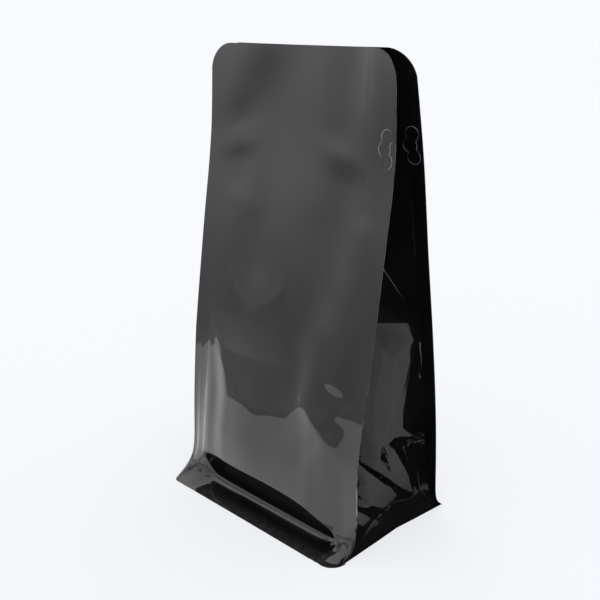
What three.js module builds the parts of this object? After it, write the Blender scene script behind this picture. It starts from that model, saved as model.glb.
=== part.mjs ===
// A heat-sealed flat-bottom film pouch, empty and standing open on its own.
// Millimetres, +Z up. The front panel faces -Y and the width runs along X.
// The origin is the bottom centre of the bounding box.
//
// The pouch is one welded piece: front and back panels, two side gussets that
// fold inwards above and lie flat below, four upright seal fins, a bottom panel
// and the two bottom seal fins that flare out along the floor.

import * as THREE from 'three';

// ---------------------------------------------------------------- driving sizes

const panelWidth = 135;      // front and back film, over the seal fins
const gussetFilm = 59;       // free gusset film between the two seals of a side
const standingHeight = 256.5;

const finWidth = 8;          // free width of an upright seal fin
const finThickness = 0.8;
const closedGap = 2.4;       // front to back at the middle of the shut mouth
const baseDepth = 68.5;      // front to back at the middle of the base

const frontFinReach = 16.6;  // bottom fin of the front panel, past the wall
const frontFinFall = 7.2;    // height over which the wall turns into that fin
const backFinReach = 7;
const backFinFall = 4;
const rightToeRadius = 9;    // rounded toes of the front bottom fin
const leftToeRadius = 5;

const cornerIn = 15;         // cut corners of the mouth: along the top edge
const cornerDown = 13;       // and down the side edge

// Upright edges of the panels seen from the side: y at even heights, base to mouth.
const frontEdgeY = [-33.7, -31.5, -26.3, -19.1, -12.4, -14.4];
const backEdgeY = [35.2, 32.0, 25.7, 17.7, 10.1, -0.2];

const foldApexHeight = 166;  // where the inward fold of a gusset stops
const popFrontHeight = 126;  // cross crease below it, at the front seal
const popBackHeight = 115;   // and at the back seal
const creaseWidth = 2.5;     // film rounds over this much at a soft crease

const halfWidth = panelWidth / 2;

// ---------------------------------------------------------------- small helpers

const mix = (a, b, t) => a + (b - a) * t;
const clamp = (v, low, high) => Math.min(high, Math.max(low, v));

function smooth(low, high, v) {
  const t = clamp((v - low) / (high - low), 0, 1);
  return t * t * (3 - 2 * t);
}

// Round-topped bump that is 1 at v = 0 and fades out over the given reach.
const bump = (v, reach) => Math.exp(-((v / reach) ** 2));

// The larger of two values, with the corner between them rounded over a width.
function softMax(a, b, width) {
  const t = clamp(0.5 + (a - b) / (2 * width), 0, 1);
  return mix(b, a, t) + width * t * (1 - t);
}

// Curve through evenly spaced heights, from the base (s = 0) to the mouth (s = 1).
function alongHeight(values, s) {
  const last = values.length - 1;
  const place = clamp(s, 0, 1) * last;
  const i = Math.min(Math.floor(place), last - 1);
  const t = place - i;
  const p1 = values[i];
  const p2 = values[i + 1];
  const slope1 = i > 0 ? (p2 - values[i - 1]) / 2 : p2 - p1;
  const slope2 = i + 2 <= last ? (values[i + 2] - p1) / 2 : p2 - p1;
  const t2 = t * t;
  const t3 = t2 * t;
  return (2 * t3 - 3 * t2 + 1) * p1 + (t3 - 2 * t2 + t) * slope1
    + (3 * t2 - 2 * t3) * p2 + (t3 - t2) * slope2;
}

// ---------------------------------------------------------------- panels

const cornerRadius = (cornerIn ** 2 + cornerDown ** 2) / (2 * cornerDown);
const cornerStart = Math.asin((cornerRadius - cornerDown) / cornerRadius);

// Half width of a panel at height z: full below, following the cut corner above.
function halfWidthAt(z) {
  const rise = z - (standingHeight - cornerRadius);
  if (z <= standingHeight - cornerDown) return halfWidth;
  return halfWidth - cornerIn + Math.sqrt(Math.max(cornerRadius ** 2 - rise ** 2, 0));
}

const middleGap = (s) => closedGap + (baseDepth - closedGap) * (1 - s ** 1.35);

// How far a rounded toe holds the bottom fin back at x.
function toeCut(x) {
  const radius = x > 0 ? rightToeRadius : leftToeRadius;
  const into = Math.max(Math.abs(x) - (halfWidth - radius), 0);
  return radius - Math.sqrt(Math.max(radius ** 2 - into ** 2, 0));
}

const flare = (reach, fall, z) => reach * Math.exp(-((z / fall) ** 1.2));

function panelY(x, z, side) {
  const s = z / standingHeight;
  const front = alongHeight(frontEdgeY, s);
  const back = alongHeight(backEdgeY, s);
  const centre = (front + back) / 2 + side * middleGap(s) / 2;
  const edge = side < 0 ? front : back;
  const wall = mix(centre, edge, (Math.abs(x) / halfWidth) ** 2.2);
  if (side < 0) return wall - flare(frontFinReach - toeCut(x), frontFinFall, z);
  return wall + flare(backFinReach, backFinFall, z);
}

const frontY = (x, z) => panelY(x, z, -1);
const backY = (x, z) => panelY(x, z, 1);

// Where the gusset film leaves the seal fins. The fins fade out at the floor.
function rootX(z) {
  const free = 0.6 + (finWidth - 0.6) * (1 - Math.exp(-z / 14));
  return Math.min(halfWidth - free, halfWidthAt(z) - 0.6);
}

// ---------------------------------------------------------------- gussets

// Depth of the inward fold that the free film allows across the gap at height z.
function foldDepth(z) {
  const root = Math.min(halfWidth - finWidth, rootX(z));
  const gap = backY(root, z) - frontY(root, z) - 2 * finThickness;
  return Math.sqrt(Math.max((gussetFilm / 2) ** 2 - (gap / 2) ** 2, 0));
}

// x of the gusset at height z and at u, 0 at the front seal and 1 at the back seal.
function gussetX(u, z) {
  const root = rootX(z);
  const fromSeal = 2 * Math.min(u, 1 - u);
  const apexDepth = foldDepth(foldApexHeight);
  if (z >= foldApexHeight) return root - foldDepth(z) * fromSeal;

  // Cross crease: a three-cornered facet leans out from the apex of the fold.
  const creaseHeight = mix(popFrontHeight, popBackHeight, u);
  const down = (foldApexHeight - z) / (foldApexHeight - creaseHeight);
  const flank = root - apexDepth * fromSeal;
  const facet = root - apexDepth * (1 - down);
  if (down < 1) return Math.min(softMax(flank, facet, creaseWidth), root);

  // Below it the film lies nearly flat, with a valley near the back seal.
  const valleyAt = 0.74 + 0.2 * smooth(70, popBackHeight, z);
  const valleyDepth = 5.5 * (1 - smooth(45, popBackHeight, z)) * smooth(8, 45, z);
  const valley = u < valleyAt ? u / valleyAt : (1 - u) / (1 - valleyAt);

  // Crumple above the base: a ridge over a sharp dent, and a film foot that flares.
  const span = Math.sin(Math.PI * clamp(u, 0, 1));
  const ridge = 2.6 * bump(u - 0.42, 0.22) * bump(z - 34, 9);
  const dent = 3.4 * bump(u - 0.36, 0.3) * bump(z - 25, 5);
  const foot = -2 * span * (1 - Math.exp(-z / 10)) * (1 - smooth(10, 60, z));
  return root - valleyDepth * valley + ridge - dent + foot;
}

// ---------------------------------------------------------------- cross-sections

const panelSteps = 18;
const gussetSteps = 16;

// Points of one side between the two panels, from the front fin to the back fin.
function sideSection(z, sign) {
  const tip = sign * halfWidthAt(z);
  const root = sign * rootX(z);
  const front = frontY(root, z) + finThickness;
  const back = backY(root, z) - finThickness;
  const points = [[tip, frontY(tip, z) + finThickness]];
  for (let i = 0; i <= gussetSteps; i += 1) {
    const u = i / gussetSteps;
    const x = sign * gussetX(u, z);
    const y = clamp(mix(front, back, u), frontY(x, z) + finThickness, backY(x, z) - finThickness);
    points.push([x, y]);
  }
  points.push([tip, backY(tip, z) - finThickness]);
  return points;
}

function panelSection(z, side) {
  const points = [];
  for (let i = 0; i <= panelSteps; i += 1) {
    const across = Math.sin(Math.PI * (i / panelSteps - 0.5));
    const x = across * halfWidthAt(z);
    points.push([x, side < 0 ? frontY(x, z) : backY(x, z)]);
  }
  return points;
}

// One closed outline, anticlockwise from above, starting at the front left fin.
function section(z) {
  return [
    ...panelSection(z, -1),
    ...sideSection(z, 1),
    ...panelSection(z, 1).reverse(),
    ...sideSection(z, -1).reverse(),
  ];
}

// Heights of the sections: close at the flared foot and round the cut corners.
function sectionHeights() {
  const footTop = 20;
  const footSteps = 9;
  const wallSteps = 44;
  const cornerSteps = 7;
  const wallTop = standingHeight - cornerDown;
  const heights = [];
  for (let i = 0; i < footSteps; i += 1) heights.push(footTop * (i / footSteps) ** 1.5);
  for (let i = 0; i < wallSteps; i += 1) heights.push(mix(footTop, wallTop, i / wallSteps));
  for (let i = 0; i <= cornerSteps; i += 1) {
    const angle = mix(cornerStart, Math.PI / 2, i / cornerSteps);
    heights.push(standingHeight - cornerRadius + cornerRadius * Math.sin(angle));
  }
  return heights;
}

// ---------------------------------------------------------------- closed solid

const panelCount = panelSteps + 1;
const sideCount = gussetSteps + 3;
const ringCount = 2 * (panelCount + sideCount);

// Fill between two point runs that both go outwards, by their x.
function fillBetween(runA, runB, points, add) {
  let a = 0;
  let b = 0;
  const out = (run, i) => Math.abs(points[run[i]][0]);
  while (a < runA.length - 1 || b < runB.length - 1) {
    const stepA = b === runB.length - 1
      || (a < runA.length - 1 && out(runA, a + 1) <= out(runB, b + 1));
    if (stepA) {
      add(runA[a], runA[a + 1], runB[b]);
      a += 1;
    } else {
      add(runA[a], runB[b + 1], runB[b]);
      b += 1;
    }
  }
}

function mouthFaces(points, add) {
  const front = (i) => i;
  const right = (i) => panelCount + i;
  const back = (i) => panelCount + sideCount + (panelSteps - i);
  const left = (i) => ringCount - 1 - i;
  const fold = 1 + gussetSteps / 2;
  const run = (from, to, at) => {
    const step = from <= to ? 1 : -1;
    return Array.from({ length: Math.abs(to - from) + 1 }, (_, k) => at(from + k * step));
  };
  const reach = Math.abs(points[right(fold)][0]) / (halfWidth - cornerIn);
  const inner = Math.floor(panelSteps * (0.5 + Math.asin(reach) / Math.PI));
  const mirror = panelSteps - inner;
  fillBetween(run(inner, panelSteps, front), run(fold, 0, right), points, add);
  fillBetween(run(inner, panelSteps, back), run(fold, sideCount - 1, right), points, add);
  fillBetween(run(mirror, 0, front), run(fold, 0, left), points, add);
  fillBetween(run(mirror, 0, back), run(fold, sideCount - 1, left), points, add);
  add(front(inner), right(fold), back(inner));
  add(front(mirror), left(fold), back(mirror));
  for (let i = mirror; i < inner; i += 1) {
    add(front(i), front(i + 1), back(i));
    add(back(i), front(i + 1), back(i + 1));
  }
}

function pouchGeometry() {
  const heights = sectionHeights();
  const rings = heights.map(section);
  const positions = [];
  rings.forEach((ring, k) => ring.forEach(([x, y]) => positions.push(x, y, heights[k])));
  const faces = [];

  for (let k = 0; k + 1 < rings.length; k += 1) {
    for (let i = 0; i < ringCount; i += 1) {
      const j = (i + 1) % ringCount;
      const low = k * ringCount;
      const high = low + ringCount;
      faces.push(low + i, low + j, high + j);
      faces.push(low + i, high + j, high + i);
    }
  }

  // Flat base, fanned from its centre.
  const centre = positions.length / 3;
  positions.push(0, 0, 0);
  for (let i = 0; i < ringCount; i += 1) faces.push(centre, (i + 1) % ringCount, i);

  // Shut mouth. Each face is turned to look up.
  const mouth = rings[rings.length - 1];
  const first = (rings.length - 1) * ringCount;
  mouthFaces(mouth, (a, b, c) => {
    const [p, q, r] = [mouth[a], mouth[b], mouth[c]];
    const turn = (q[0] - p[0]) * (r[1] - p[1]) - (q[1] - p[1]) * (r[0] - p[0]);
    if (turn > 0) faces.push(first + a, first + b, first + c);
    else faces.push(first + a, first + c, first + b);
  });

  const geometry = new THREE.BufferGeometry();
  geometry.setAttribute('position', new THREE.Float32BufferAttribute(positions, 3));
  geometry.setIndex(faces);
  geometry.computeVertexNormals();
  return geometry;
}

// ---------------------------------------------------------------- the part

const blackFilm = new THREE.MeshStandardMaterial({
  color: 0x0b0b0c,
  roughness: 0.12,
  metalness: 0,
});

const geometry = pouchGeometry();
geometry.computeBoundingBox();
const box = geometry.boundingBox;

const pouch = new THREE.Mesh(geometry, blackFilm);
pouch.name = 'pouch';
pouch.position.set(-(box.min.x + box.max.x) / 2, -(box.min.y + box.max.y) / 2, -box.min.z);

const part = new THREE.Group();
part.add(pouch);

export default part;
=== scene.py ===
"""Looks of an empty, heat-sealed flat-bottom film pouch of glossy black laminate."""

import math

import bpy
import numpy as np
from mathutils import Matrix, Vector


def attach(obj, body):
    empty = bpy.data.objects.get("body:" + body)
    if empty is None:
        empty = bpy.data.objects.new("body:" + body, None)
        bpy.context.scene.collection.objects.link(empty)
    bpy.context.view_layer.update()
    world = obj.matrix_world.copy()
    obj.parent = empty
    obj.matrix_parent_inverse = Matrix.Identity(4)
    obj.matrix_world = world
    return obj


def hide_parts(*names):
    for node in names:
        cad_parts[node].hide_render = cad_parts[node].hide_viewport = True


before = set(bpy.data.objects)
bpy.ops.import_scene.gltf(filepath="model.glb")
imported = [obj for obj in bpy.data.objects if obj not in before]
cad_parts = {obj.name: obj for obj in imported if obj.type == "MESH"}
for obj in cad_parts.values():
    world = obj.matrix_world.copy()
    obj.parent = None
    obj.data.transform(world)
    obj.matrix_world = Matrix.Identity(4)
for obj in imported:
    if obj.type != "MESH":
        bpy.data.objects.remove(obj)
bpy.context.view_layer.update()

MM = 0.001

# ------------------------------------------------------------ driving sizes, mm

PANEL_WIDTH = 135.0
HALF_WIDTH = PANEL_WIDTH / 2
STANDING_HEIGHT = 256.5
BASE_DEPTH = 68.5
CLOSED_GAP = 1.1             # between the panels at the mouth
PANEL_CLOSING = 1.35         # how late the panels come together towards the mouth
PANEL_CROWN = 2.2            # how flat a panel stays before it turns to its edges

# Upright seal fins, and the gusset film between them.
FIN_WIDTH = 8.0
FIN_THICKNESS = 0.36         # two welded films
FIN_START = 0.6              # width of a fin at the floor
FIN_WIDENING = 14.0          # height over which it nears its full width
GUSSET_FILM = 59.0           # width of that film, laid flat

# Bottom seal fins: how far they stand out at the floor, and the height over which
# they turn up into their panels.
FRONT_FIN_REACH = 17.5
FRONT_FIN_FALL = (7.2, 5.6)      # left and right at the toes
FRONT_FIN_CREASE = (2.6, 1.7)    # left and right between the toes, where it lies flatter
LEFT_TOE_X = (-44, -55)          # where that flatter run turns into each toe
RIGHT_TOE_X = (46, 67)
BACK_FIN_REACH = 7.0
BACK_FIN_FALL = 4.0
FIN_TURN = 1.2                   # how abruptly they turn up
RIGHT_TOE_RADIUS = 9.0
LEFT_TOE_RADIUS = 5.0

# Cut corners of the mouth.
CORNER_IN = 15.0
CORNER_DOWN = 13.0
CORNER_MARGIN = 0.4          # film left outside the gusset there
CORNER_RADIUS = (CORNER_IN ** 2 + CORNER_DOWN ** 2) / (2 * CORNER_DOWN)

# Upright panel edges from the side: y at even heights, from base to mouth.
FRONT_EDGE_Y = (-33.7, -31.5, -26.3, -19.1, -12.4, -14.4)
FRONT_LEFT_EDGE_Y = (-33.7, -31.3, -26.4, -19.9, -12.6, -8.6)
BACK_EDGE_Y = (35.2, 32.0, 25.7, 17.7, 10.1, -0.2)

FOLD_APEX_HEIGHT = 166.0     # where the inward fold of a gusset ends
POP_FRONT_HEIGHT = 126.0     # ends of the cross crease, below which it stands out flat
POP_BACK_HEIGHT = 115.0
FACET_SOFTNESS = 0.5         # of the creases that run down from the apex


# ------------------------------------------------------------ small helpers

def mix(a, b, t):
    return a + (b - a) * t


def smooth(low, high, v):
    """0 below low, 1 above high, with soft ends. low may be the larger."""
    t = np.clip((v - low) / (high - low), 0, 1)
    return t * t * (3 - 2 * t)


def bump(v, reach):
    return np.exp(-((v / reach) ** 2))


def soft_max(a, b, width):
    t = np.clip(0.5 + (a - b) / (2 * width), 0, 1)
    return mix(b, a, t) + width * t * (1 - t)


def along_height(values, s):
    """Curve through evenly spaced heights, s 0 at the base and 1 at the mouth."""
    values = np.asarray(values, float)
    last = len(values) - 1
    place = np.clip(s, 0, 1) * last
    i = np.minimum(np.floor(place).astype(int), last - 1)
    t = place - i
    p1, p2 = values[i], values[i + 1]
    slope1 = np.where(i > 0, (p2 - values[np.maximum(i - 1, 0)]) / 2, p2 - p1)
    slope2 = np.where(i + 2 <= last, (values[np.minimum(i + 2, last)] - p1) / 2, p2 - p1)
    t2, t3 = t * t, t ** 3
    return (
        (2 * t3 - 3 * t2 + 1) * p1 + (t3 - 2 * t2 + t) * slope1
        + (3 * t2 - 2 * t3) * p2 + (t3 - t2) * slope2
    )


# ------------------------------------------------------------ panels

def half_width_at(z):
    """Half width of a panel, which follows the cut corner near the mouth."""
    rise = z - (STANDING_HEIGHT - CORNER_RADIUS)
    cut = HALF_WIDTH - CORNER_IN + np.sqrt(np.maximum(CORNER_RADIUS ** 2 - rise ** 2, 0))
    return np.where(z <= STANDING_HEIGHT - CORNER_DOWN, HALF_WIDTH, cut)


def toe_cut(x):
    """How far a rounded toe holds the front bottom fin back at x."""
    radius = np.where(x > 0, RIGHT_TOE_RADIUS, LEFT_TOE_RADIUS)
    into = np.maximum(np.abs(x) - (HALF_WIDTH - radius), 0)
    return radius - np.sqrt(np.maximum(radius ** 2 - into ** 2, 0))


def flare(reach, fall, z):
    """How far a bottom fin stands out at a height."""
    return reach * np.exp(-((np.maximum(z, 0) / fall) ** FIN_TURN))


def middle_gap(s):
    """Gap between the panels in their middle, s 0 at the base and 1 at the mouth."""
    return CLOSED_GAP + (BASE_DEPTH - CLOSED_GAP) * (1 - np.clip(s, 0, 1) ** PANEL_CLOSING)


PATH_SOFTENING = 2.5
FOLD_ROUNDING = 1.2


def through(path, x, soften=PATH_SOFTENING):
    """Softened line through (x, value) places: the mean of the line and its shifts."""
    at, value = np.array(path, float).T
    shifts = soften * np.array([-1.5, -0.5, 0.5, 1.5])
    return sum(np.interp(x + shift, at, value) for shift in shifts) / len(shifts)


def fold(distance, out, reach):
    """How far a narrow ridge stands out, at a distance from its line."""
    off = np.sqrt(distance ** 2 + FOLD_ROUNDING ** 2) - FOLD_ROUNDING
    return out * np.exp(-off / reach)


# Crease under the belly of the front panel, (x, height) from left to right.
BELLY_CREASE = (
    (-68, 94), (-48, 87), (-31, 75), (-18, 65), (-7, 58), (4, 61), (16, 66),
    (28, 74), (34, 71), (41, 64), (52, 58), (60, 54), (68, 52),
)
BELLY_OUT = 2.6
BELLY_REACH = 42.0
RIGHT_BELLY_OUT = 4.4         # sharper beyond the middle
RIGHT_BELLY_REACH = 27.0
BELLY_TURN_X = (10, 34)       # where it turns sharper
BELLY_FOOT = (0, 40)          # heights over which it starts
BELLY_END = (STANDING_HEIGHT, 180)

# Small hanging fold above it.
POCKET_CREASE = ((-44, 134), (-39, 124), (-33, 118), (-24, 113), (-12, 118), (-6, 123), (2, 131))
POCKET_OUT = 0.5
POCKET_REACH = 9.0
POCKET_LEFT_X = (-46, -40)
POCKET_RIGHT_X = (4, -2)

# Crease over the bottom fin: its foot and its upper edge, (x, height).
HEEL_FOOT = (
    (-58, 9.5), (-56, 6.5), (-52, 4.4), (-46, 3.6), (0, 2.6), (38, 2.6), (50, 3.6), (58, 5.0),
)
HEEL_TOP = (
    (-58, 9.5), (-56.5, 14), (-53.5, 18.3), (-48, 21), (-34, 22), (-10, 22), (10, 21.2), (24, 19.8),
    (34, 17.8), (42, 13.5), (52, 8.2), (58, 5.3),
)
HEEL_SPREAD = ((-67.5, 0), (-60, 6), (-47, 15), (-22, 0))    # softer left end of the bulge
HEEL_SPREAD_HEIGHT = 14       # height over which that end starts
HEEL_SOFTENING = 1.2
HEEL_EDGE = 7                 # width over which the bulge starts from the panel's edges
HEEL_SLOPE = 0.345
HEEL_REACH = 50.0             # how far up the bulge over that crease fades

# Upright ridge beside the left seal, from its foot to its top.
STREAK_HEIGHTS = (0, 40, 62, 88, 108)
STREAK_X = (-38, -38, -38, -45, -54)
STREAK_HALF = (9, 9, 9, 6.5, 4)
STREAK_SLOPE = (0, 0.22, 0.26, 0.24, 0)
STREAK_FLANK = 70            # width of its gentle right flank

SEAL_LINE_X = 47.6           # inner edge of the side seals, pressed into the panel
SEAL_STEP = 0.12             # how deep
SEAL_SOFTNESS = 0.7
SEAL_HEIGHTS = (150, 190)    # over which the step starts to show

# The panel's edges are welded straight, so relief fades towards them.
EDGE_RELIEF = 0.4            # share of it that is left at an edge
EDGE_FADE_START = (6, 0)     # distance from the left and the right edge
EDGE_FADE_END = (36, 24)
MIDDLE_X = (-20, 20)         # where left values give way to right ones

LEAN_HEIGHTS = (4, 56)       # over which leans start, so that the foot stays straight

# Soft ridges: x, height, half length, half width, lean in degrees, out of the panel.
RIDGES = (
    (-46, 203, 13, 8, 8, 0.42),
    (30, 204, 16, 8, -10, 0.42),
)

# Places where the film leans: x, height, half length, half width and turn of the
# place in degrees, and how many degrees its upper side leans back.
LEANS = (
    (-27, 246, 34, 27, 38, -9.5),
    (-50, 223, 15, 13, 25, -7.0),
    (-48, 210.5, 14, 5, 22, 4.0),
    (-46, 199, 15, 9, 16, -8.5),
    (-45, 178, 14, 10, -12, 5.0),
    (46, 234, 24, 34, 0, 3.4),
    (30, 208, 12, 8, -15, 3.4),
    (37, 197, 11, 9, -12, -6.0),
    (52, 174, 9, 8, 10, 4.6),
    (16, 170, 16, 26, 0, -3.4),
    (-30, 166, 12, 24, 0, -3.8),
    (44, 148, 9, 26, 0, 3.0),
    (34, 122, 9, 20, 0, 4.2),
    (-21, 131, 12, 14, 0, 3.6),
    (46, 88, 8.8, 5.6, -20, -8.5),
    (54, 73.5, 4.4, 5.2, -42, -8.5),
    (65, 81, 10, 14, 0, 10.0),
)
BACK_LEANS = (
    (-20, 214, 40, 16, 35, 2.6),
    (34, 176, 26, 18, -30, -2.4),
    (-30, 128, 30, 14, -12, 2.2),
    (22, 92, 26, 16, 24, -3.0),
    (-26, 58, 24, 12, -20, 3.0),
    (40, 40, 18, 9, 12, 2.6),
)
BACK_EDGE_FADE = 26
BACK_LEAN_HEIGHTS = (6, 30)

# Fine crinkles of the film: turn in degrees, pitch and shift of each set of creases.
CRINKLE_SETS = ((24, 4.3, 0.4), (-38, 3.4, 1.9), (71, 5.2, 0.9), (-79, 2.9, 2.6))
# Their places: x (or y in a gusset), height, half width, half height and depth.
TOE_CRINKLE = (59, 3, 8, 5, 0.6)
PATCH_CRINKLE = (28.0, 43.5, 5.5, 4.0, 1.7)


def turned(x, z, at_x, at_z, degrees):
    """Distances from a place, along its turned axis and across it."""
    turn = math.radians(degrees)
    along = (x - at_x) * math.cos(turn) + (z - at_z) * math.sin(turn)
    return along, (z - at_z) * math.cos(turn) - (x - at_x) * math.sin(turn)


def crinkle(a, b, place):
    """Creases that cross each other, strongest at their place."""
    at_a, at_b, wide, tall, depth = place
    total = 0
    for turn, pitch, shift in CRINKLE_SETS:
        along, _ = turned(a, b, at_a, at_b, turn)
        total = total + 1 - 2 * np.abs(np.sin(math.pi * along / pitch + shift))
    fade = bump(a - at_a, wide) * bump(b - at_b, tall)
    return depth * fade * total / len(CRINKLE_SETS)


def ridge(x, z, place):
    """Soft ridge along its turned axis."""
    at_x, at_z, length, width, turn, out = place
    along, across = turned(x, z, at_x, at_z, turn)
    return out * bump(along, length) * bump(across, width)


def lean(x, z, place):
    """Soft step across a place, which leans by degrees in its middle."""
    at_x, at_z, length, width, turn, degrees = place
    along, across = turned(x, z, at_x, at_z, turn)
    slope = math.tan(math.radians(degrees))
    return -slope * width * 0.5 * np.tanh(2 * across / width) * bump(along, length)


def streak(x, z):
    """How far the ridge beside the left seal, steep on its left flank, stands out."""
    into = x - np.interp(z, STREAK_HEIGHTS, STREAK_X)
    half = np.interp(z, STREAK_HEIGHTS, STREAK_HALF)
    slope = np.interp(z, STREAK_HEIGHTS, STREAK_SLOPE)
    out = slope * half * 4 / 3        # a soft step this high is as steep as slope
    return out * (smooth(-1, 1, into / half) * smooth(STREAK_FLANK, 0, into - half))


def belly(x, z):
    """Bulge over the crease under the belly."""
    sharper = smooth(*BELLY_TURN_X, x)
    out = mix(BELLY_OUT, RIGHT_BELLY_OUT, sharper)
    reach = mix(BELLY_REACH, RIGHT_BELLY_REACH, sharper)
    out = fold(z - through(BELLY_CREASE, x), out, reach)
    return out * smooth(*BELLY_FOOT, z) * smooth(*BELLY_END, z)


def pocket(x, z):
    """Small hanging fold, which fades at both ends."""
    run = smooth(*POCKET_LEFT_X, x) * smooth(*POCKET_RIGHT_X, x)
    return run * fold(z - through(POCKET_CREASE, x), POCKET_OUT, POCKET_REACH)


def heel(x, z):
    """Bulge over the bottom fin: its underside leans out from foot to top."""
    foot = through(HEEL_FOOT, x, HEEL_SOFTENING)
    top = np.maximum(through(HEEL_TOP, x, HEEL_SOFTENING), foot)
    spread = np.maximum(through(HEEL_SPREAD, x) - top + foot, 0)
    under = np.clip(z, foot, top) - foot + spread * smooth(0, HEEL_SPREAD_HEIGHT, z)
    out = HEEL_SLOPE * under * bump(np.maximum(z - top, 0), HEEL_REACH)
    return out * smooth(0, HEEL_EDGE, HALF_WIDTH - np.abs(x))


def front_relief(x, z):
    """How far creases, ridges and leans bring the front panel out at (x, z)."""
    out = belly(x, z) + pocket(x, z) + streak(x, z)
    out = out + sum(ridge(x, z, place) for place in RIDGES)
    out = out + smooth(*LEAN_HEIGHTS, z) * sum(lean(x, z, place) for place in LEANS)
    seals = smooth(SEAL_LINE_X - SEAL_SOFTNESS, SEAL_LINE_X + SEAL_SOFTNESS, x)
    out = out - SEAL_STEP * seals * smooth(*SEAL_HEIGHTS, z)
    right = smooth(*MIDDLE_X, x)
    from_edge = smooth(
        mix(*EDGE_FADE_START, right), mix(*EDGE_FADE_END, right), HALF_WIDTH - np.abs(x),
    )
    return out * mix(EDGE_RELIEF, 1, from_edge) + heel(x, z) + crinkle(x, z, TOE_CRINKLE)


def panel_y(x, z, side):
    """Form of a panel: side -1 is the front, 1 the back."""
    s = z / STANDING_HEIGHT
    right = along_height(FRONT_EDGE_Y, s)
    left = along_height(FRONT_LEFT_EDGE_Y, s)
    across = (x / HALF_WIDTH + 1) / 2
    front = mix(left, right, across)
    back = along_height(BACK_EDGE_Y, s)
    centre = (front + back) / 2 + side * middle_gap(s) / 2
    edge = front if side < 0 else back
    wall = mix(centre, edge, (np.abs(x) / HALF_WIDTH) ** PANEL_CROWN)
    if side > 0:
        return wall + flare(BACK_FIN_REACH, BACK_FIN_FALL, z)
    toes = np.maximum(smooth(*LEFT_TOE_X, x), smooth(*RIGHT_TOE_X, x))
    fall = mix(mix(*FRONT_FIN_CREASE, across), mix(*FRONT_FIN_FALL, across), toes)
    return wall - flare(FRONT_FIN_REACH - toe_cut(x), fall, z)


def back_relief(x, z):
    """How far leans bring the back panel out at (x, z)."""
    out = sum(lean(x, z, place) for place in BACK_LEANS)
    from_edge = smooth(0, BACK_EDGE_FADE, half_width_at(z) - np.abs(x))
    return out * from_edge * smooth(*BACK_LEAN_HEIGHTS, z)


def root_x(z):
    """Where the gusset film leaves the upright seal fins."""
    free = FIN_START + (FIN_WIDTH - FIN_START) * (1 - np.exp(-z / FIN_WIDENING))
    return np.minimum(HALF_WIDTH - free, half_width_at(z) - CORNER_MARGIN)


# ------------------------------------------------------------ gussets

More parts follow.
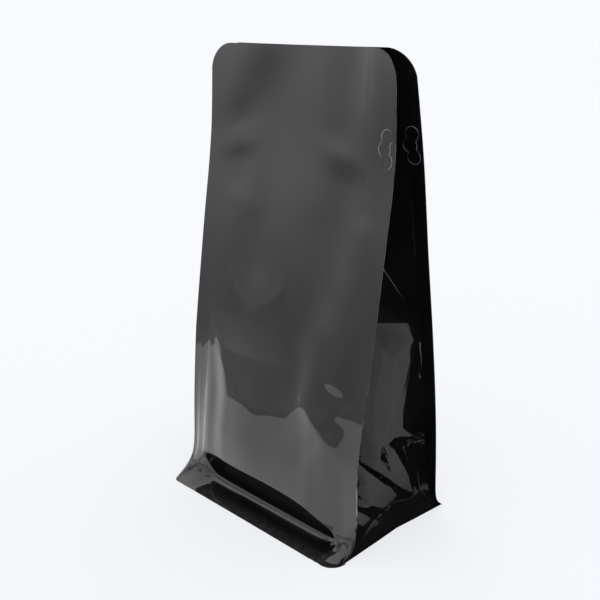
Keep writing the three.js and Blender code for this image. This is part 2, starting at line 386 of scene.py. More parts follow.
# Corners of the creased facets of a gusset below its cross crease: y, height and
# how far the film stands out of the flat gusset. FRONT and BACK are its seals.
FRONT, BACK = -math.inf, math.inf
CORNERS = {
    "front_top": (FRONT, POP_FRONT_HEIGHT, 0),
    "front_a": (FRONT, 84, 0),
    "front_b": (FRONT, 58, 0),
    "front_c": (FRONT, 56.5, 0),
    "front_d": (FRONT, 36.3, 0),
    "front_e": (FRONT, 27.4, 0),
    "front_f": (FRONT, 13.9, 0),
    "front_foot": (FRONT, 0, 0),
    "back_top": (BACK, POP_BACK_HEIGHT, 0),
    "back_foot": (BACK, 0, 0),
    "foot_a": (-14, 0, -1.4),
    "foot_b": (4, 0, -2.5),
    "foot_c": (18, 0, -1.4),
    "swell": (20.5, 107, 1.1),
    "middle_a": (2, 100, -0.1),
    "middle_b": (2, 70, -0.2),
    "valley_a": (17.1, 98.4, 0.0),
    "valley_b": (15, 84, -0.9),
    "valley_c": (14.5, 67, -1.2),
    "valley_d": (14.8, 55.3, -1.3),
    "dip_a": (20.5, 92, -0.9),
    "dip_b": (20.5, 70, -2.0),
    "dip_c": (20.5, 56, -2.2),
    "brink_a": (22.6, 100, -0.3),
    "brink_b": (26.6, 70, -2.4),
    "brink_c": (30.2, 36, -3.4),
    "brink_d": (31.4, 10, -3.6),
    "tail": (27.5, 46, -0.6),
    "tail_back": (28.2, 47.4, -2.7),
    "tail_low": (28.2, 44.6, -3.3),
    "tail_root": (14.5, 51.2, -1.2),
    "arch_top": (8.4, 52.7, -0.8),
    "arch_left": (2.6, 51.5, -0.3),
    "arch_foot": (0.1, 50.2, -0.1),
    "pit": (16.5, 43.5, -3.5),
    "pit_back": (24, 42, -3.7),
    "arch_pit": (10, 48, -2.5),
    "slit_top": (-4.5, 53.7, 0.3),
    "slit_gap": (-2.2, 52.6, 0.0),
    "slit_left": (-5.8, 50.6, 0.4),
    "slit_low": (-5.1, 45.0, 0.5),
    "slit_bend": (0, 37.7, 0.2),
    "slit_right": (-3.0, 48.4, 1.8),
    "slit_edge": (0.8, 40.4, 1.6),
    "slit_tip": (3.7, 32.3, 0.4),
    "wing_a": (7.2, 45.1, -0.2),
    "wing_b": (10.4, 40.8, -0.3),
    "wing_c": (15.5, 32.5, -0.6),
    "wing_d": (19.4, 24.8, -0.8),
    "wing_e": (21.1, 17.9, -1.0),
    "wing_tip": (23.1, 12.1, -1.3),
    "hollow_a": (20.5, 32.5, -3.2),
    "hollow_b": (24.0, 24.0, -3.4),
    "hollow_c": (26.0, 15.5, -3.6),
    "lip_a": (-15.2, 44.2, 0.1),
    "lip_b": (-7.3, 37.8, 0.2),
    "lip_c": (1.0, 30.4, 0.2),
    "lip_d": (10.8, 21.2, -0.5),
    "groove_a": (-14.6, 42.8, -1.6),
    "groove_b": (-6.7, 36.5, -2.4),
    "groove_c": (1.6, 29.0, -2.8),
    "groove_d": (11.0, 19.6, -3.2),
    "sill_a": (-18.6, 44.8, -0.2),
    "sill_b": (-12.8, 38.4, -0.3),
    "sill_c": (-6.2, 32.2, -0.4),
    "sill_d": (-0.2, 26.1, -0.6),
    "sill_e": (5.3, 22.0, -0.8),
    "sill_f": (8.7, 16.8, -1.3),
    "knuckle_a": (-16.5, 34.7, 0.0),
    "knuckle_b": (-3.0, 28.5, -0.4),
    "knuckle_c": (-8.9, 23.8, -0.7),
    "knuckle_d": (-12.9, 22.6, -0.7),
    "lap_a": (-13.9, 20.1, -0.95),
    "lap_b": (-4.1, 13.1, -1.8),
    "lap_c": (4.3, 13.0, -1.8),
    "spur_top": (-11.9, 16.1, -1.5),
    "spur_tip": (-9.7, 9.7, -2.8),
    "spur_heel": (-4, 9.5, -4.4),
    "heel_a": (10, 10.5, -6.2),
    "heel_b": (23.5, 8.5, -4.4),
}

# Each facet is a fan of triangles from its first corner.
FACETS = (
    "front_top back_top swell middle_a",
    "front_top middle_a front_a",
    "middle_a swell valley_a valley_b middle_b",
    "front_a middle_a middle_b",
    "middle_b valley_b valley_c valley_d tail_root arch_top arch_left arch_foot slit_gap",
    "middle_b slit_gap slit_top front_a",
    "back_top brink_a swell",
    "swell brink_a dip_a valley_a",
    "dip_a brink_a brink_b dip_b",
    "valley_a dip_a dip_b valley_c valley_b",
    "valley_c dip_b dip_c valley_d",
    "dip_b brink_b dip_c",
    "dip_c brink_b brink_c tail_back",
    "valley_d dip_c tail_back",
    "tail tail_root valley_d tail_back tail_low pit_back",
    "brink_c tail_back tail tail_low",
    "front_a slit_top slit_left slit_low front_b",
    "slit_low slit_left slit_top slit_gap slit_right slit_edge",
    "slit_bend slit_low slit_edge slit_tip",
    "slit_edge slit_right slit_gap arch_foot wing_a wing_b wing_c",
    "slit_tip slit_edge wing_c wing_d lip_c",
    "lip_c wing_d wing_e wing_tip lip_d",
    "front_b slit_low slit_bend slit_tip lip_c lip_b lip_a",
    "arch_pit pit pit_back tail_root arch_top arch_left arch_foot wing_a wing_b",
    "tail_root pit_back tail",
    "arch_pit wing_b wing_c pit",
    "pit wing_c hollow_a pit_back",
    "hollow_a wing_c wing_d hollow_b",
    "hollow_b wing_d wing_e hollow_c",
    "hollow_c wing_e wing_tip heel_b",
    "brink_c tail_low pit_back hollow_a hollow_b hollow_c brink_d",
    "back_top brink_a brink_b brink_c brink_d back_foot",
    "hollow_c heel_b brink_d",
    "front_b lip_a groove_a sill_a front_c",
    "lip_a lip_b groove_b groove_a",
    "lip_b lip_c groove_c groove_b",
    "lip_c lip_d groove_d groove_c",
    "lip_d wing_tip groove_d",
    "groove_a groove_b sill_c sill_b sill_a",
    "groove_b groove_c sill_d sill_c",
    "groove_c groove_d sill_f sill_e sill_d",
    "front_c sill_a sill_b sill_c knuckle_b knuckle_a front_d",
    "knuckle_b sill_c sill_d sill_e knuckle_c",
    "front_d knuckle_a knuckle_b knuckle_c knuckle_d lap_a front_e",
    "knuckle_c sill_e sill_f lap_c lap_b lap_a knuckle_d",
    "front_e lap_a spur_top spur_tip front_f",
    "lap_a lap_b spur_tip spur_top",
    "spur_tip lap_b spur_heel",
    "lap_b lap_c heel_a spur_heel",
    "spur_heel heel_a foot_b",
    "spur_tip spur_heel foot_b",
    "sill_f groove_d heel_a lap_c",
    "groove_d wing_tip heel_b heel_a",
    "front_foot front_f spur_tip foot_a",
    "foot_a spur_tip foot_b",
    "foot_b heel_a heel_b foot_c",
    "foot_c heel_b brink_d back_foot",
)


SMALL = 1e-6                 # slack at a facet's edges, and area too small for a facet


def seal_gap(root, z):
    """Gap between the front and back seals of one side, at their roots."""
    return panel_y(root, z, 1) - panel_y(root, z, -1) - 2 * FIN_THICKNESS


def fold_depth(z):
    """How deep the folded gusset reaches in."""
    gap = seal_gap(np.minimum(HALF_WIDTH - FIN_WIDTH, root_x(z)), z)
    return np.sqrt(np.maximum((GUSSET_FILM / 2) ** 2 - (gap / 2) ** 2, 0))


def across_gusset(y, z):
    """Share of the way from the front seal to the back seal."""
    root = root_x(z)
    front = panel_y(root, z, -1)
    back = panel_y(root, z, 1)
    return np.clip((y - front) / (back - front), 0, 1)


def crumple(u, z):
    """How far the creased facets bring a gusset out, at u between its seals."""
    place = {
        name: (BASE_DEPTH * across_gusset(y, np.float64(height)), height, out)
        for name, (y, height, out) in CORNERS.items()
    }
    across = BASE_DEPTH * u * np.ones_like(z)
    total = np.zeros_like(across)
    for facet in FACETS:
        names = facet.split()
        for second, third in zip(names[1:], names[2:]):
            a, b, c = (place[name] for name in (names[0], second, third))
            area = (b[0] - a[0]) * (c[1] - a[1]) - (c[0] - a[0]) * (b[1] - a[1])
            if abs(area) < SMALL:
                continue
            # Shares of the way from corner a to b and to c.
            to_b = ((across - a[0]) * (c[1] - a[1]) - (c[0] - a[0]) * (z - a[1])) / area
            to_c = ((b[0] - a[0]) * (z - a[1]) - (across - a[0]) * (b[1] - a[1])) / area
            inside = (to_b >= -SMALL) & (to_c >= -SMALL) & (to_b + to_c <= 1 + SMALL)
            value = a[2] + to_b * (b[2] - a[2]) + to_c * (c[2] - a[2])
            total = np.where(inside, value, total)
    return total


def gusset_x(u, z):
    """x of a gusset at u, 0 at the front seal and 1 at the back seal."""
    root = root_x(z)
    from_seal = 2 * np.minimum(u, 1 - u)
    folded = root - fold_depth(z) * from_seal

    # Three-cornered facet that leans out from the apex of the fold.
    apex_depth = fold_depth(np.float64(FOLD_APEX_HEIGHT))
    crease_height = mix(POP_FRONT_HEIGHT, POP_BACK_HEIGHT, u)
    down = (FOLD_APEX_HEIGHT - z) / (FOLD_APEX_HEIGHT - crease_height)
    flank = root - apex_depth * from_seal
    facet = root - apex_depth * (1 - down)
    leaning = np.minimum(soft_max(flank, facet, FACET_SOFTNESS), root)

    y = mix(panel_y(root, z, -1), panel_y(root, z, 1), u)
    lower = root + crumple(u, z) + crinkle(y, z, PATCH_CRINKLE)
    return np.where(z >= FOLD_APEX_HEIGHT, folded, np.where(down < 1, leaning, lower))


# ------------------------------------------------------------ loft

FRONT_COLUMNS = 190
BACK_COLUMNS = 100
GUSSET_COLUMNS = 110
FIN_COLUMNS = 6

# Rows of each run of heights, and where it ends.
FOOT_ROWS, FOOT_TOP = 36, 22
CREASED_ROWS, CREASED_TOP = 62, 60
WALL_ROWS = 180
CORNER_ROWS = 22

FOOT_CROWDING = 1.4          # how much closer the rows come at the floor
EDGE_CROWDING = 0.5          # how much closer the columns come at a panel's edges
SHARP_ANGLE = 33
DEPTH_SHIFT = 4.02           # from the panels' own middle to the middle of the box


def heights():
    """Section heights: close at the flared foot and round the cut corners."""
    wall_top = STANDING_HEIGHT - CORNER_DOWN
    foot = FOOT_TOP * np.linspace(0, 1, FOOT_ROWS, endpoint=False) ** FOOT_CROWDING
    creased = np.linspace(FOOT_TOP, CREASED_TOP, CREASED_ROWS, endpoint=False)
    wall = np.linspace(CREASED_TOP, wall_top, WALL_ROWS, endpoint=False)
    start = math.asin((CORNER_RADIUS - CORNER_DOWN) / CORNER_RADIUS)
    angle = np.linspace(start, math.pi / 2, CORNER_ROWS)
    corner = STANDING_HEIGHT - CORNER_RADIUS + CORNER_RADIUS * np.sin(angle)
    return np.concatenate([foot, creased, wall, corner])


def front_y(x, z):
    """Outer face of the front panel with its creases and waves."""
    return panel_y(x, z, -1) - front_relief(x, z)


def side_columns(z, sign):
    """Film between the two panels on one side, from the front fin to the back fin."""
    tip, root = half_width_at(z), root_x(z)
    fin = mix(tip, root, np.arange(FIN_COLUMNS)[:, None] / FIN_COLUMNS)
    u = np.linspace(0, 1, GUSSET_COLUMNS + 1)[:, None]
    wall = gusset_x(u, z)
    inner_front = front_y(sign * wall, z) + FIN_THICKNESS
    inner_back = panel_y(sign * wall, z, 1) - FIN_THICKNESS
    wall_y = np.clip(mix(inner_front[0], inner_back[-1], u), inner_front, inner_back)
    front_fin_y = front_y(sign * fin, z) + FIN_THICKNESS
    back_fin_y = panel_y(sign * fin, z, 1) - FIN_THICKNESS
    x = np.concatenate([fin, wall, fin[::-1]])
    return sign * x, np.concatenate([front_fin_y, wall_y, back_fin_y[::-1]])


def panel_columns(z, side):
    """Front or back panel from its left edge to its right one."""
    half = half_width_at(z)
    count = FRONT_COLUMNS if side < 0 else BACK_COLUMNS
    across = np.sin(math.pi * (np.linspace(0, 1, count + 1) - 0.5))
    even = np.linspace(-1, 1, count + 1)
    x = mix(even, across, EDGE_CROWDING)[:, None] * half
    return x, front_y(x, z) if side < 0 else panel_y(x, z, side) + back_relief(x, z)


def ring_faces(rings, count, closed=False):
    """Faces between rings of count points each; an open run is capped at both ends."""
    faces = []
    for k in range(rings if closed else rings - 1):
        low, high = k * count, (k + 1) % rings * count
        for i in range(count):
            j = (i + 1) % count
            faces.append((low + i, low + j, high + j, high + i))
    if not closed:
        faces.append(tuple(range(count - 1, -1, -1)))
        faces.append(tuple(range((rings - 1) * count, rings * count)))
    return faces


def loft():
    """Points, ring by ring, and faces of the closed film body."""
    z = heights()
    runs = [
        panel_columns(z, -1),
        side_columns(z, 1),
        tuple(a[::-1] for a in panel_columns(z, 1)),
        tuple(a[::-1] for a in side_columns(z, -1)),
    ]
    x = np.concatenate([r[0] for r in runs])
    y = np.concatenate([r[1] for r in runs])
    count, rings = x.shape
    points = np.stack([x, y, np.broadcast_to(z, x.shape)], -1).transpose(1, 0, 2)
    return points.reshape(-1, 3), ring_faces(rings, count)


def add_piece(name, points, faces):
    """Piece with its own mesh, from points in metres."""
    mesh = bpy.data.meshes.new(name)
    mesh.from_pydata(points, [], faces)
    piece = bpy.data.objects.new(name, mesh)
    bpy.context.scene.collection.objects.link(piece)
    return piece


def add_film(name, points, faces):
    """Smooth piece of the pouch, from points in mm about the panels' own middle."""
    placed = (points + np.array([0, DEPTH_SHIFT, 0])) * MM
    piece = add_piece(name, placed.tolist(), faces)
    piece.data.shade_smooth()
    return piece


def film_body():
    """The whole film with its seals, as one closed body."""
    piece = add_film("pouch_film", *loft())
    piece.data.set_sharp_from_angle(angle=math.radians(SHARP_ANGLE))
    piece.data.update()
    return piece


# ------------------------------------------------------------ cut edges, pale in part as a painted highlight

EDGE_RADIUS = 0.05           # bare edge of the cut laminate, its pale tone partly a painted highlight
EDGE_HEIGHTS = (2, STANDING_HEIGHT - 0.2)
EDGE_STEPS = 260
PAINTED_GLINT_RADIUS = 0.24          # thicker pale thread: a painted highlight along the front right edge
PAINTED_GLINT_START = (13, 25)       # heights over which it widens and narrows again
PAINTED_GLINT_END = (58, 50)

LOBE_RADIUS = 3.7            # clover that is punched through the right seals
LOBES = ((62.0, 216.2), (62.0, 204.8), (60.4, 210.5))
CLOVER_RADIUS = 0.15
CLOVER_STEPS = 120
CLOVER_MARGIN = 0.3          # film left between the outline and the edge

THREAD_SIDES = 6
ASIDE = (0.31, 0.87, 0.38)   # a direction that no thread runs along


def tube(name, path, radii, closed=False):
    """Round thread along a path in mm; its radius may change on the way."""
    path = np.asarray(path, float)
    count = len(path)
    if closed:
        ahead, behind = np.roll(path, -1, 0), np.roll(path, 1, 0)
    else:
        ahead = np.concatenate([path[1:], path[-1:]])
        behind = np.concatenate([path[:1], path[:-1]])
    along = ahead - behind
    along /= np.linalg.norm(along, axis=1)[:, None]
    first = np.cross(along, ASIDE)
    first /= np.linalg.norm(first, axis=1)[:, None]
    second = np.cross(along, first)
    angle = 2 * math.pi * np.arange(THREAD_SIDES)[:, None] / THREAD_SIDES
    spokes = first[:, None] * np.cos(angle) + second[:, None] * np.sin(angle)
    points = path[:, None] + spokes * np.broadcast_to(radii, count)[:, None, None]
    return add_film(name, points.reshape(-1, 3), ring_faces(count, THREAD_SIDES, closed))


def clover_outline():
    """Outer line round the three lobes, as (x, height) in order round their middle."""
    lobes = np.array(LOBES)
    middle = lobes.mean(0)
    angle = np.linspace(0, 2 * math.pi, CLOVER_STEPS, endpoint=False)
    aim = np.stack([np.cos(angle), np.sin(angle)], -1)
    reach = np.zeros(len(angle))
    for lobe in lobes:
        offset = lobe - middle
        onto = aim @ offset
        inside = LOBE_RADIUS ** 2 - offset @ offset + onto ** 2
        to_rim = np.where(inside > 0, onto + np.sqrt(np.maximum(inside, 0)), 0)
        reach = np.maximum(reach, to_rim)
    return middle + aim * reach[:, None]


def clovers():
    """The outline on the front seal, and on the back seal and the film folded in from it, as pale
    threads that are partly a painted highlight.
    """
    x, z = clover_outline().T
    front = front_y(x, z) - CLOVER_RADIUS / 4
    root = root_x(z)
    back = panel_y(x, z, 1) - FIN_THICKNESS + CLOVER_RADIUS / 4
    back = back - np.maximum(root - x, 0) * seal_gap(root, z) / 2 / fold_depth(z)
    pieces = []
    for name, y in (("clover_front", front), ("clover_back", back)):
        path = np.stack([np.minimum(x, half_width_at(z) - CLOVER_MARGIN), y, z], -1)
        pieces.append(tube(name, path, CLOVER_RADIUS, closed=True))
    return pieces


def edge_threads():
    """Bare cut edges of the four upright seals, their pale tone partly a painted highlight,
    thickened into a painted glint along the front right one.
    """
    z = np.linspace(*EDGE_HEIGHTS, EDGE_STEPS)
    pieces = []
    for side, face in ((-1, "front"), (1, "back")):
        for sign, hand in ((1, "right"), (-1, "left")):
            x = sign * half_width_at(z)
            y = front_y(x, z) if side < 0 else panel_y(x, z, 1)
            radii = np.full(len(z), EDGE_RADIUS)
            if side < 0 and sign > 0:
                # painted glint: the pale thread thickens along the front right edge as a painted
                # highlight
                painted_glint = smooth(*PAINTED_GLINT_START, z) * smooth(*PAINTED_GLINT_END, z)
                radii = mix(EDGE_RADIUS, PAINTED_GLINT_RADIUS, painted_glint)
            path = np.stack([x, y - side * FIN_THICKNESS / 2, z], -1)
            pieces.append(tube(f"edge_{face}_{hand}", path, radii))
    return pieces


# ------------------------------------------------------------ materials

FILM_IOR = 1.5
FILM_TINTS = ((0.0035, 0.0035, 0.0038, 1), (0.0060, 0.0058, 0.0058, 1))
FILM_ROUGHNESS = (0.035, 0.065)
FIN_PAINTED_SHEEN = (0.034, 0.034, 0.036, 1)       # painted sheen: lighter colour towards the rim of the front bottom fin, standing in for its reflected glow
FIN_SHEEN_DEPTHS = (-0.036, -0.047)        # y where it starts and where it is full, m
FIN_SHEEN_SHARE = (0.35, 1)                # least and most of it that the grain lets through
PEEL_DEPTH = 0.0001
PEEL_STRENGTH = 0.12
# pale tone of the cut edges: partly bare laminate, partly a painted highlight of edges catching
# light
EDGE_TINTS_WITH_PAINTED_HIGHLIGHT = ((0.02, 0.02, 0.02, 1), (0.30, 0.30, 0.31, 1))
EDGE_TINT_PLACES = (0.38, 0.62)            # of its grain
EDGE_ROUGHNESS = 0.3

GRAIN_RANGE = (0.3, 0.7)                   # that nearly all of a grain lies in

# Grain of each: scale and detail.
TINT_GRAIN = (35, 3)
ROUGHNESS_GRAIN = (60, 4)
SHEEN_GRAIN = (240, 4)
PEEL_GRAIN = (160, 2)
EDGE_GRAIN = (180, 2)


def new_tree(name, clear=False):
    """Material and its node tree, empty or with its plain shader."""
    material = bpy.data.materials.new(name)
    material.use_nodes = True
    if clear:
        material.node_tree.nodes.clear()
    return material, material.node_tree


def node(tree, kind, inputs=(), **settings):
    """Shader node with its settings and inputs, each a value or another node's output."""
    made = tree.nodes.new("ShaderNode" + kind)
    for name, value in settings.items():
        setattr(made, name, value)
    fill(tree, made, dict(inputs))
    return made


def fill(tree, target, inputs):
    """Set or link a node's inputs, each given by its name or number."""
    for name, value in inputs.items():
        if isinstance(value, bpy.types.NodeSocket):
            tree.links.new(value, target.inputs[name])
        else:
            target.inputs[name].default_value = value


def grain(tree, place, size):
    """Fine noise, as coarse and as detailed as size says."""
    scale, detail = size
    noise = node(tree, "TexNoise", {"Scale": scale, "Detail": detail, "Vector": place})
    return noise.outputs["Fac"]


def spread(tree, source, low, high):
    """The range of a grain, spread from low to high."""
    least, most = GRAIN_RANGE
    return node(tree, "MapRange", {
        "Value": source, "From Min": least, "From Max": most, "To Min": low, "To Max": high,
    }).outputs["Result"]


def film_material():
    """Gloss black laminate: a little uneven in gloss, with a faint orange peel, and
    with a painted sheen, lighter towards the rim of the front bottom fin, standing in for its
    reflected glow."""
    material, tree = new_tree("black_film")
    place = node(tree, "TexCoord").outputs["Object"]
    dark, light = FILM_TINTS
    tint = node(tree, "Mix", {
        "A": dark, "B": light, "Factor": spread(tree, grain(tree, place, TINT_GRAIN), 0, 1),
    }, data_type="RGBA")

    # painted sheen: the fin's rim is made lighter, broken up by grain, standing in for its
    # reflected glow
    start, full = FIN_SHEEN_DEPTHS
    depth = node(tree, "SeparateXYZ", {0: place}).outputs["Y"]
    rim = node(tree, "MapRange", {
        "Value": depth, "From Min": start, "From Max": full,
    }, interpolation_type="SMOOTHSTEP")
    share = node(tree, "Math", {
        0: rim.outputs["Result"],
        1: spread(tree, grain(tree, place, SHEEN_GRAIN), *FIN_SHEEN_SHARE),
    }, operation="MULTIPLY")
    painted_sheen = node(tree, "Mix", {
        "A": tint.outputs["Result"], "B": FIN_PAINTED_SHEEN, "Factor": share.outputs[0],
    }, data_type="RGBA")

    peel = node(tree, "Bump", {
        "Distance": PEEL_DEPTH, "Strength": PEEL_STRENGTH, "Height": grain(tree, place, PEEL_GRAIN),
    })
    fill(tree, tree.nodes["Principled BSDF"], {
        "IOR": FILM_IOR,
        "Base Color": painted_sheen.outputs["Result"],
        "Roughness": spread(tree, grain(tree, place, ROUGHNESS_GRAIN), *FILM_ROUGHNESS),
        "Normal": peel.outputs["Normal"],
    })
    return material


def edge_material():
    """Bare cut laminate: paler and duller, unevenly so along the cut; the pale tone is partly a
    painted highlight of edges catching light.
    """
    material, tree = new_tree("cut_edge_and_painted_highlight")
    place = node(tree, "TexCoord").outputs["Object"]
    ramp = node(tree, "ValToRGB", {"Fac": grain(tree, place, EDGE_GRAIN)})
    for element, at, tint in zip(ramp.color_ramp.elements, EDGE_TINT_PLACES, EDGE_TINTS_WITH_PAINTED_HIGHLIGHT):
        element.position = at
        element.color = tint
    fill(tree, tree.nodes["Principled BSDF"], {
        "IOR": FILM_IOR, "Roughness": EDGE_ROUGHNESS, "Base Color": ramp.outputs["Color"],
    })
    return material


# ------------------------------------------------------------ stage

# Sizes in metres, and azimuths in degrees from +X towards +Y.
PAPER = (0.939, 0.956, 0.985, 1)
PAPER_GLOW = 0.7             # share of the paper's brightness that no shadow takes
PAPER_IN_GLOSS = 0.85        # its brightness where the film reflects it
FLOOR_HALF = 40

CARD_LIFT = 0.0006           # cards lie on the paper
UPPER_LIFT = 1.5 * CARD_LIFT     # where a card lies over others
FLAG_LIFT = 2 * CARD_LIFT
RIGHT_PIVOT = (0.074, 0.0)   # foot of the right gusset
LEFT_PIVOT = (-0.09, -0.05)  # floor beside the left front corner
NEAR_PIVOT = (0.08, -0.05)   # floor beside the right front corner

NEAR_CARD = (
    (-0.09, -0.05), (-0.40, -0.19), (-0.28, -0.25), (0.02, -0.64), (0.21, -0.64), (0.08, -0.05),
)
CARD_GLOW = 1.7
LEFT_CARD_EDGE_GLOW = 1.75
LEFT_CARD_REACH = 1.4
NEAR_CARD_REACH = 0.09
BACK_FLAG_REACH = 0.5
FOOT_FLAG = (
    (0.052, -0.06), (0.12, -0.06), (0.10, 0.006), (0.080, 0.008), (0.080, 0.044), (0.052, 0.044),
)

# Cards beside the right gusset: azimuths of their borders, and the brightness there.
RIGHT_CARDS = (
    (-75, 0), (36, 0), (44, 0.42), (50, 0.50), (53, 0.60), (57, 0.58), (64, 0.54), (68, 0.48),
    (75, 0.42), (87, 0.45),
)
RIGHT_CARD_REACH = 36

# Upright softboxes: azimuths, distance, heights, brightness at foot and top, and the
# share of it that is seen past the first reflection.
SOFTBOXES = {
    "low_softbox": ((195, 250), 1.15, (0.0, 0.09), (0.85, 1.02), 0),
    "middle_softbox": ((195, 250), 1.15, (0.09, 0.36), (1.02, 1.80), 0),
    "wall": ((195, 250), 1.15, (0.36, 0.60), (0.95, 0.95), 0),
    "high_softbox_foot": ((165, 240), 1.16, (0.45, 0.8), (0.3, 1.9), 0.25),
    "high_softbox": ((165, 240), 1.16, (0.8, 2.0), (1.9, 1.9), 0.25),
    "left_side_softbox": ((150, 195), 1.14, (0.0, 0.30), (1.6, 1.7), 0),
    "left_toe_softbox": ((172, 195), 1.14, (0.30, 0.60), (1.4, 1.9), 0),
    "right_toe_softbox": ((250, 285), 1.15, (0.13, 1.0), (1.5, 1.9), 0),
    "right_side_softbox": ((285, 318), 1.15, (0.1, 1.6), (1.2, 1.9), 0),
    "right_toe_softbox_top": ((240, 285), 1.15, (1.0, 2.6), (1.9, 1.9), 0),
    "right_low_softbox": ((250, 285), 1.15, (0.0, 0.13), (0.85, 1.0), 0),
    "right_strip": ((-28, -4), 1.2, (0.1, 0.7), (3.0, 3.0), 0),
}
CEILING = ((-2.2, -2.2), (0.8, -2.2), (0.8, 0.6), (-2.2, 0.6))
CEILING_HEIGHT = 2.6
CEILING_GLOW = 1.9

DOME = (1, 1, 1, 1)
DOME_STRENGTH = 1.0
DOME_IN_GLOSS = 0.03

ONE_REFLECTION = 1.5         # a glossy depth under this has been reflected once


def plane(name, corners, glow=None, again=0):
    """Flat stage piece. With glow, one brightness a corner, it is seen only by gloss,
    and past the first reflection with only the share again of it."""
    piece = add_piece(name, corners, [tuple(range(len(corners)))])
    if glow is not None:
        levels = piece.data.attributes.new("glow", "FLOAT", "POINT")
        levels.data.foreach_set("value", glow)
        piece.data.materials.append(glow_material(name + "_glow", again))
        piece.visible_camera = False
        piece.visible_diffuse = False
        piece.visible_shadow = False
    return piece


def level(name, outline, height, glow):
    """Level stage piece of one brightness."""
    plane(name, [(x, y, height) for x, y in outline], [glow] * len(outline))


def glow_material(name, again):
    """Light as bright as glow says, and only again times that past a first reflection."""
    material, tree = new_tree(name, clear=True)
    glow = node(tree, "Attribute", attribute_name="glow").outputs["Fac"]
    depth = node(tree, "LightPath").outputs["Glossy Depth"]
    first = node(tree, "Math", {0: depth, 1: ONE_REFLECTION}, operation="LESS_THAN")
    share = node(tree, "Math", {
        0: first.outputs[0], 1: 1 - again, 2: again,
    }, operation="MULTIPLY_ADD")
    strength = node(tree, "Math", {0: glow, 1: share.outputs[0]}, operation="MULTIPLY")
    light = node(tree, "Emission", {"Strength": strength.outputs[0]})
    node(tree, "OutputMaterial", {0: light.outputs[0]})
    return material


def paper_material():
    """Pale paper, partly lit from below so that it takes only a faint shadow."""
    material, tree = new_tree("paper", clear=True)
    matt = node(tree, "BsdfDiffuse", {"Color": PAPER})
    light = node(tree, "Emission", {"Color": PAPER})
    both = node(tree, "MixShader", {0: PAPER_GLOW, 1: matt.outputs[0], 2: light.outputs[0]})
    plain = node(tree, "Emission", {"Strength": PAPER_IN_GLOSS})
    seen = node(tree, "LightPath").outputs["Is Glossy Ray"]
    gloss = node(tree, "MixShader", {0: seen, 1: both.outputs[0], 2: plain.outputs[0]})
    node(tree, "OutputMaterial", {0: gloss.outputs[0]})
    return material


def around(azimuth, distance, height):
    """Place at an azimuth round the origin."""
    turn = math.radians(azimuth)
    return (distance * math.cos(turn), distance * math.sin(turn), height)


def softbox(name, azimuths, distance, rise, glow, again):
    """Upright softbox between two azimuths; glow is given for its foot and its top."""
    low, high = rise
    start, end = azimuths
    foot, top = glow
    plane(name, [
        around(start, distance, low), around(end, distance, low),
        around(end, distance, high), around(start, distance, high),
    ], [foot, foot, top, top], again)


def sector(name, pivot, azimuths, reach, glow, lift=CARD_LIFT):
    """Card that spreads from a pivot; glow goes from its first azimuth to its second, so
    the pivot is there twice."""
    x, y = pivot
    start, end = (around(azimuth, reach, lift) for azimuth in azimuths)
    near, far = glow
    plane(name, [
        (x, y, lift), (start[0] + x, start[1] + y, lift),
        (end[0] + x, end[1] + y, lift), (x, y, lift),
    ], [near, near, far, far])


def make_stage():
    """Floor, and the cards and softboxes that only the film's gloss shows."""
    half = FLOOR_HALF
    floor = plane("floor", [(-half, -half, 0), (half, -half, 0), (half, half, 0), (-half, half, 0)])
    floor.data.materials.append(paper_material())

    even, edge = (CARD_GLOW, CARD_GLOW), (LEFT_CARD_EDGE_GLOW, CARD_GLOW)
    level("near_card", NEAR_CARD, CARD_LIFT, CARD_GLOW)
    sector("left_card_edge", LEFT_PIVOT, (205, 190), LEFT_CARD_REACH, edge, UPPER_LIFT)
    sector("left_card", LEFT_PIVOT, (190, 105), LEFT_CARD_REACH, even)
    first, _ = RIGHT_CARDS[0]
    for (start, near), (end, far) in zip(RIGHT_CARDS, RIGHT_CARDS[1:]):
        name = f"right_card_{start - first}"
        sector(name, RIGHT_PIVOT, (start, end), RIGHT_CARD_REACH, (near, far))
    sector("near_card_right", NEAR_PIVOT, (-77, -20), NEAR_CARD_REACH, even, UPPER_LIFT)
    sector("back_flag", RIGHT_PIVOT, (87, 175), BACK_FLAG_REACH, (0, 0))
    level("foot_flag", FOOT_FLAG, FLAG_LIFT, 0)
    for name, size in SOFTBOXES.items():
        softbox(name, *size)
    level("ceiling", CEILING, CEILING_HEIGHT, CEILING_GLOW)


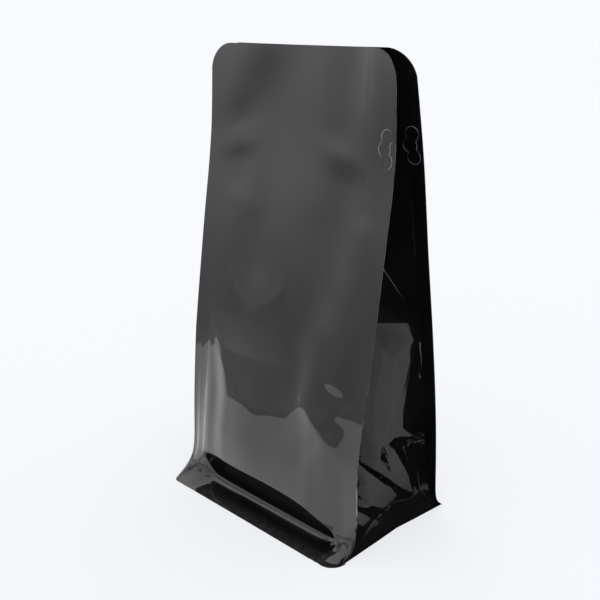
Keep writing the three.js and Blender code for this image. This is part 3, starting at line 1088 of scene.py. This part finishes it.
def make_world():
    """White dome for the paper, its own colour behind it, and dark above in the gloss."""
    world = bpy.data.worlds.new("studio")
    bpy.context.scene.world = world
    world.use_nodes = True
    tree = world.node_tree
    tree.nodes.clear()
    path = node(tree, "LightPath")

    def background(colour, strength):
        return node(tree, "Background", {"Color": colour, "Strength": strength}).outputs[0]

    def pick(ray, otherwise, seen):
        picked = node(tree, "MixShader", {0: path.outputs[ray], 1: otherwise, 2: seen})
        return picked.outputs[0]

    white = background(DOME, DOME_STRENGTH)
    gloss = pick("Is Glossy Ray", white, background(DOME, DOME_IN_GLOSS))
    node(tree, "OutputWorld", {0: pick("Is Camera Ray", gloss, background(PAPER, 1.0))})


# ------------------------------------------------------------ camera

CAMERA_AZIMUTH = 45.34       # degrees from -Y towards +X
CAMERA_ELEVATION = 18.0      # degrees over the floor
CAMERA_DISTANCE = 0.49754    # metres
CAMERA_TARGET = (-0.00785, 0.00402, 0.11727)
CAMERA_LENS = 52.69          # focal length and sensor width, mm
CAMERA_SENSOR = 36


def make_camera():
    """Camera that looks at the pouch from its front right corner, a little from above."""
    data = bpy.data.cameras.new("camera")
    data.lens = CAMERA_LENS
    data.sensor_width = CAMERA_SENSOR
    camera = bpy.data.objects.new("camera", data)
    bpy.context.scene.collection.objects.link(camera)
    azimuth = math.radians(CAMERA_AZIMUTH)
    elevation = math.radians(CAMERA_ELEVATION)
    back = Vector((
        math.sin(azimuth) * math.cos(elevation),
        -math.cos(azimuth) * math.cos(elevation),
        math.sin(elevation),
    ))
    camera.location = Vector(CAMERA_TARGET) + back * CAMERA_DISTANCE
    camera.rotation_mode = "QUATERNION"
    camera.rotation_quaternion = (-back).to_track_quat("-Z", "Y")
    bpy.context.scene.camera = camera


# ------------------------------------------------------------ the scene

make_camera()
make_stage()
make_world()
bpy.context.scene.view_settings.view_transform = "Standard"

pouch_film = film_body()
pouch_film.data.materials.append(film_material())
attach(pouch_film, "root")
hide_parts("pouch")

# pale threads round the clovers and along the seal edges: partly bare laminate, partly a painted
# highlight
cut_edge_and_painted_highlight = edge_material()
for thread in clovers() + edge_threads():
    thread.data.materials.append(cut_edge_and_painted_highlight)
    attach(thread, "root")
